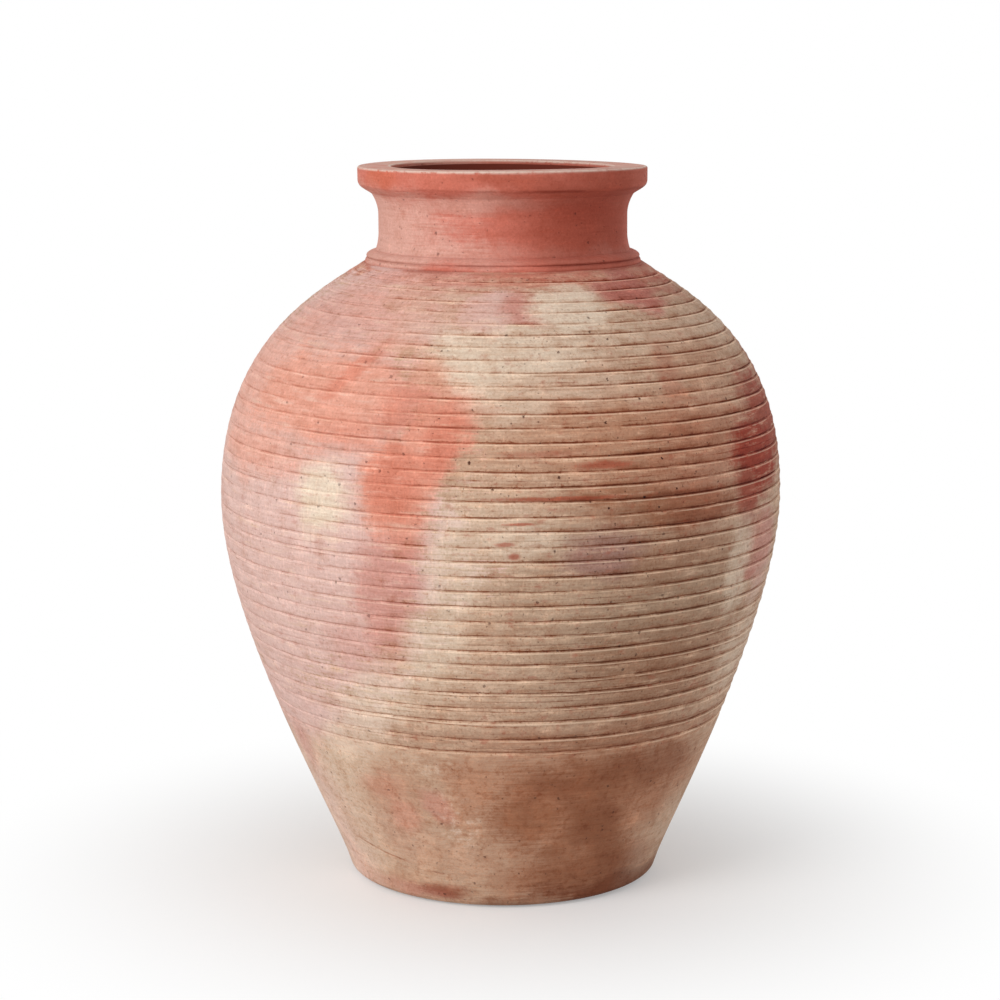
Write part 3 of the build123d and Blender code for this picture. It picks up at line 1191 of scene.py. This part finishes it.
def scored_dirt_shade_and_highlight(colour, jar, clay, bare, soiled):
    """Dark earth in the scored line; earth and painted shade above it; a painted highlight higher on each
    ridge; and a pale edge below it, partly worn and partly a painted highlight.
    """
    worn = (clay.fleck - 0.5) * 1.4 + (clay.smear - 0.5) * 1.2
    line = ramp(jar.groove + worn * ramp(jar.groove, 0.0, 0.3), 0.1, 0.75)
    burr = ramp(jar.burr + worn * ramp(jar.burr, 0.0, 0.3) * 0.7, 0.3, 0.95)
    # Painted shade with earth on the lower part of each ridge, just above the groove, where the ridge faces
    # down.
    verge_shade_and_dirt = jar.verge * ramp(clay.smear, 0.36, 0.62) * (0.2 + bare * 0.8)
    colour = shaded(verge_shade_and_dirt * 0.9, colour, verge_shade_and_dirt_tint)
    colour = shaded(jar.verge * soiled * 0.8, colour, soil_tint)
    # Painted highlight on the upper part of each ridge, which faces up towards the lamp.
    painted_ridge_highlight = ramp(jar.phase.maths("FRACT", jar.phase), 0.4, 0.9, 0, 0.7) * ramp(clay.smear, 0.6, 0.4)
    colour = shaded(painted_ridge_highlight * jar.scored * (0.3 + bare * 0.7), colour, pale_tint)
    line = line * ramp(jar.level, *faint_levels, 1.0, faintest)
    colour = shaded(line * (0.2 + bare * 0.75), colour, groove_tint)
    # The pale burr below each groove is partly worn lime and partly a painted highlight on the lip that faces
    # up.
    burr = burr * (0.4 + bare * 0.6)
    colour = layer(burr * 0.38, shaded(burr, colour, pale_tint), chalk_and_highlight)
    specks = ramp(clay.fleck, 0.57, 0.64) * jar.verge * (0.1 + bare * 0.9) * 0.8
    dots = ramp(clay.grain, 0.6, 0.68) * (0.35 + jar.verge * 0.65) * jar.scored * (0.2 + bare * 0.6)
    return shaded(specks.maths("MAXIMUM", specks, dots), colour, groove_tint)


def pitted(jar, cells, size, keep):
    """Mask of small ragged pits, about one to a cell, of which a share is kept."""
    shake = joined(*channels(noise(jar.place, 700, 2.0, 0.6, output=1)))
    ragged = affine(shake, (3 * MM, 3 * MM, 3 * MM), jar.place)
    inputs = {"Vector": ragged, "Scale": cells}
    settings = {"feature": "F1", "voronoi_dimensions": "3D"}
    distance = jar.place.node("ShaderNodeTexVoronoi", settings, inputs, 0)
    chance = channels(jar.place.node("ShaderNodeTexVoronoi", settings, inputs, 1))[0]
    return ramp(distance, size, size * 0.55) * ramp(chance, keep, keep - 0.1)


print(f"scuffs reach up to {scuff_level:.0f} mm")

# %% [markdown]
# ## The fired clay
# One function builds the finish of every piece, because the jar is one clay. The wall, the neck and the
# foot differ only in their ground tone and their coats. The same fields lift and lower the surface
# through a Bump node, in millimetres.

# %% Material of the clay
blush_levels = (492, 528)
# Levels of the creases, where shade and grime are painted.
crease_levels = (neck_level - 0.5, neck_level + 4.4, collar_top + 6)
coat_cover = {"rose": 0.8, "bloom": 0.7, "flush": 0.6}


def terracotta(name, ground, coats, blush, wear):
    """Matt fired clay: a ground tone under coats of stain, with the marks of making on top, and painted shade
    and highlights in the creases, on the ridges and on the rim.
    """
    material = bpy.data.materials.new(name)
    material.use_nodes = True
    tree = material.node_tree
    tree.nodes.clear()
    jar = jar_fields(tree)
    clay = clay_textures(jar)
    unrolled = frayed(jar, clay, 1.0)
    thin = ramp(clay.smear * jar.scored + clay.streak, 0.97, 0.7, 0, 0.6) * jar.scored

    ragged = jar.level + (clay.streak - 0.5) * 60 + (clay.smear - 0.5) * 40
    blushed = ramp(ragged, *blush_levels, 0, blush)
    colour = layer(blushed, ground, salmon)
    covered = soiled = jar.scored * 0.0
    for coat, (shade, stains) in coats.items():
        mask = stained(unrolled, stains)
        colour = layer(mask * (1 - thin), colour, shade)
        covered = covered.maths("MAXIMUM", covered, mask * coat_cover.get(coat, 0.0))
        if coat == "umber":
            soiled = mask
    colour = layer(stained(frayed(jar, clay, 0.12), smudge_stains), colour, smudge)
    bare = (1 - covered) * wear
    colour = rusted(wiped(colour, jar, clay, bare), jar, bare)
    colour = scuffed(colour, jar, clay, stained(unrolled, fleck_stains))
    colour = scored_dirt_shade_and_highlight(colour, jar, clay, bare, soiled)
    large_pits = pitted(jar, cells=76, size=0.1, keep=0.75)
    small_pits = pitted(jar, cells=170, size=0.14, keep=0.6)
    pits = large_pits.maths("MAXIMUM", large_pits, small_pits * 0.7)
    pit_dirt = pits * (0.6 + stained(unrolled, pit_stains) * 0.4) * (0.5 + bare * 0.5)
    colour = shaded(pit_dirt, colour, soot_tint)
    # Painted shade and grime in the creases at the moulding and in the cove under the rim, darker towards the
    # right, away from the lamp.
    for level in crease_levels:
        near = jar.level.maths("ABSOLUTE", jar.level - level)
        crease_shade_and_grime = ramp(near, 2.2, 0.2, 0, 0.8) * ramp(clay.streak, 0.35, 0.6)
        colour = shaded(crease_shade_and_grime * ramp(jar.front, -60, 20, 0.4, 1.0), colour, crease_shade_and_grime_tint)
    dusty = ramp(jar.level, rim_top - 2.0, rim_top - 0.9, 0, 0.45) * ramp(clay.mottle, 0.2, 0.6)
    colour = layer(dusty, colour, dust_and_highlight)
    flat = stretched(jar.place, 1 / MM, 1 / MM, 0)
    radius = flat.node("ShaderNodeVectorMath", {"operation": "LENGTH"}, {0: flat}, 1)
    # Thin paler lines on the rim's outer and inner top edges: wear and a painted highlight.
    for edge in (rim_radius - 1.0, mouth_radius + 1.2):
        beside = radius.maths("ABSOLUTE", radius - edge)
        rubbed_and_highlit = ramp(beside, 1.6, 0.4) * ramp(jar.level, rim_top - 3.2, rim_top - 1.6, 0, 0.6)
        colour = layer(rubbed_and_highlit * ramp(clay.fleck, 0.36, 0.52), colour, dust_and_highlight)
    inside = ramp(jar.side, -0.2, -0.8)
    colour = layer(inside, colour, raw_clay)

    relief = clay.streak * 0.12 + clay.lines * 0.12 + clay.mottle * 0.15
    relief = relief + clay.fleck * 0.16 + clay.grain * 0.14
    relief = relief + clay.fleck * jar.verge * 0.3 - pits * 0.45
    bump = jar.place.node("ShaderNodeBump", {}, {"Strength": 1.0, "Distance": MM, "Height": relief})
    shader = tree.nodes.new("ShaderNodeBsdfPrincipled")
    shader.inputs["Specular IOR Level"].default_value = 0.25
    tree.links.new(colour.socket, shader.inputs["Base Color"])
    tree.links.new((0.74 + clay.streak * 0.16).socket, shader.inputs["Roughness"])
    tree.links.new(bump.socket, shader.inputs["Normal"])
    output = tree.nodes.new("ShaderNodeOutputMaterial")
    tree.links.new(shader.outputs["BSDF"], output.inputs["Surface"])
    print(f"{name}: {len(tree.nodes)} nodes")
    return material


wall_clay = terracotta("scored_wall_terracotta", buff, kiln_coats, blush=0.8, wear=1.0)
neck_clay = terracotta("wiped_neck_terracotta", salmon, neck_coats, blush=0.0, wear=0.5)
foot_clay = terracotta("foot_terracotta", buff, kiln_coats, blush=0.0, wear=1.0)

# %% [markdown]
# ## Putting the jar together
# Each thrown piece stands for one node of the frame. It rides on the jar's one body, hides the plain node
# and takes the slot that the record gives that node.

# %% Assign finishes, bodies and slots
finishes = {"wall_terracotta": wall_clay, "neck_terracotta": neck_clay, "foot_terracotta": foot_clay}
slots = {part["node"]: part["material_slot"] for part in frame["record"]["subparts"]}
for node, piece in pieces.items():
    piece.data.materials.clear()
    piece.data.materials.append(finishes[slots[node]])
    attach(piece, "root")
    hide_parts(node)
print(f"{len(pieces)} pieces placed")

# %% [markdown]
# ## The floor
# A pale floor takes a soft shadow near the jar and fades to white further out. A floor that glowed all
# over would lose the shadow, so the paper glows more with its distance from the jar, and only to the
# camera and in reflections. The clay itself is lit by plain paper.

# %% Floor
floor_radius = 6.0
shadow_start, shadow_end = 0.12, 0.5
near_glow = 0.3
bpy.ops.object.select_all(action="DESELECT")
bpy.ops.mesh.primitive_circle_add(vertices=96, radius=floor_radius, fill_type="NGON")
floor = bpy.context.object
floor.name = "studio_floor"
paper = bpy.data.materials.new("pale_studio_paper")
paper.use_nodes = True
paper.node_tree.nodes.clear()
paper_place = Field(paper.node_tree, paper.node_tree.nodes.new("ShaderNodeTexCoord").outputs["Object"])
from_jar = paper_place.node("ShaderNodeVectorMath", {"operation": "LENGTH"}, {0: paper_place}, 1)
seen = [paper_place.node("ShaderNodeLightPath", {}, {}, ray) for ray in ("Is Camera Ray", "Is Glossy Ray")]
fade = ramp(from_jar, shadow_start, shadow_end, near_glow, 1.0) * paper_place.maths("MAXIMUM", *seen)
matt = paper_place.node("ShaderNodeBsdfDiffuse", {}, {"Color": tone(240, 239, 238)})
white = paper_place.node("ShaderNodeEmission", {}, {"Color": (1, 1, 1, 1), "Strength": 1.0})
paper_shader = paper_place.node("ShaderNodeMixShader", {}, {0: fade, 1: matt, 2: white})
paper_output = paper.node_tree.nodes.new("ShaderNodeOutputMaterial")
paper.node_tree.links.new(paper_shader.socket, paper_output.inputs["Surface"])
floor.data.materials.append(paper)
print(f"floor {floor.dimensions.x:.0f} m across")

# %% [markdown]
# ## Sky and lamps
# The world is white to the camera and softer to the clay, so that the background is clean and the colours
# stay true. One wide lamp stands high to the left, in front of the jar, and the sky fills the rest.

# %% World and lamps
sky_strength = 0.58
world = bpy.data.worlds.new("soft_white_room")
bpy.context.scene.world = world
world.use_nodes = True
world.node_tree.nodes.clear()
path = world.node_tree.nodes.new("ShaderNodeLightPath")
seen_direct = Field(world.node_tree, path.outputs["Is Camera Ray"])
for ray in ("Is Glossy Ray", "Is Transmission Ray"):
    seen_direct = seen_direct.maths("MAXIMUM", seen_direct, Field(world.node_tree, path.outputs[ray]))
strength = sky_strength + seen_direct * (1 - sky_strength)
sky = seen_direct.node("ShaderNodeBackground", {}, {"Color": (1, 1, 1, 1), "Strength": strength})
world_output = world.node_tree.nodes.new("ShaderNodeOutputWorld")
world.node_tree.links.new(sky.socket, world_output.inputs["Surface"])


def lamp(name, place, aim, size, power):
    """Square soft lamp at a place in metres, turned to a level on the jar's axis."""
    bpy.ops.object.light_add(type="AREA", location=place)
    made = bpy.context.object
    made.name = name
    made.data.shape = "SQUARE"
    made.data.size = size
    made.data.energy = power
    away = made.location.copy()
    away.z -= aim
    made.rotation_euler = away.to_track_quat("Z", "Y").to_euler()


lamp("key_lamp", place=(-1.95, -2.15, 1.85), aim=0.33, size=1.6, power=58)
lamp("fill_lamp", place=(2.6, -0.6, 1.2), aim=0.33, size=1.6, power=4)
print(f"sky {sky_strength}, {len(bpy.data.lights)} lamps")

# %% [markdown]
# ## The camera
# The photograph's camera was found from the ellipses of rim, grooves and foot: a long lens a little above
# the shoulder, tilted down by under ten degrees.

# %% Camera
eye = (-0.0013, -2.2548, 0.6991)
tilt = math.radians(80.4)
bpy.ops.object.camera_add(location=eye, rotation=(tilt, 0, 0))
camera = bpy.context.object
camera.data.lens = 97.2
camera.data.sensor_width = 36.0
bpy.context.scene.camera = camera
bpy.context.scene.view_settings.view_transform = "Standard"
print(f"lens {camera.data.lens:.1f} mm, {-camera.location.y:.2f} m in front of the jar")
